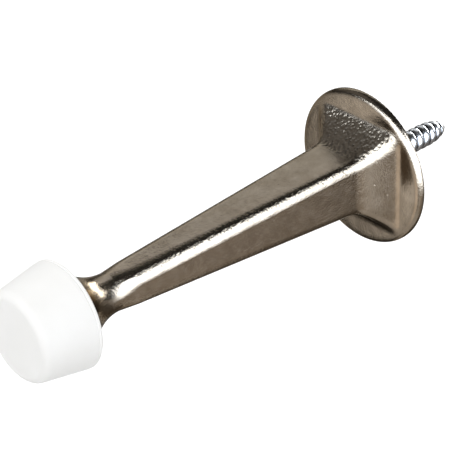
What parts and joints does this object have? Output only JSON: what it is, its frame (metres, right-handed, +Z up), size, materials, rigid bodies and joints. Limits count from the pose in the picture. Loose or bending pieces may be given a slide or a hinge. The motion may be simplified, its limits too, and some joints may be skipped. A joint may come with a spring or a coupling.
{
  "type": "wall door stop",
  "caption": "Rigid wall door stop: plated cast post on a round flange, with a white rubber tip and a screw for the wall.",
  "frame": {"origin": "centre of the flange's back face, in the plane of the wall", "axes": "+Y into the wall along the screw, -Y out along the post to the rubber tip, +Z up"},
  "size_m": [0.03, 0.1006, 0.03],
  "materials": {
    "plated_casting": "satin",
    "white_rubber": "matte",
    "zinc_steel": "polished"
  },
  "bodies": {
    "root": {"cast_body": "plated_casting", "rubber_tip": "white_rubber", "mounting_screw": "zinc_steel"}
  },
  "joints": []
}
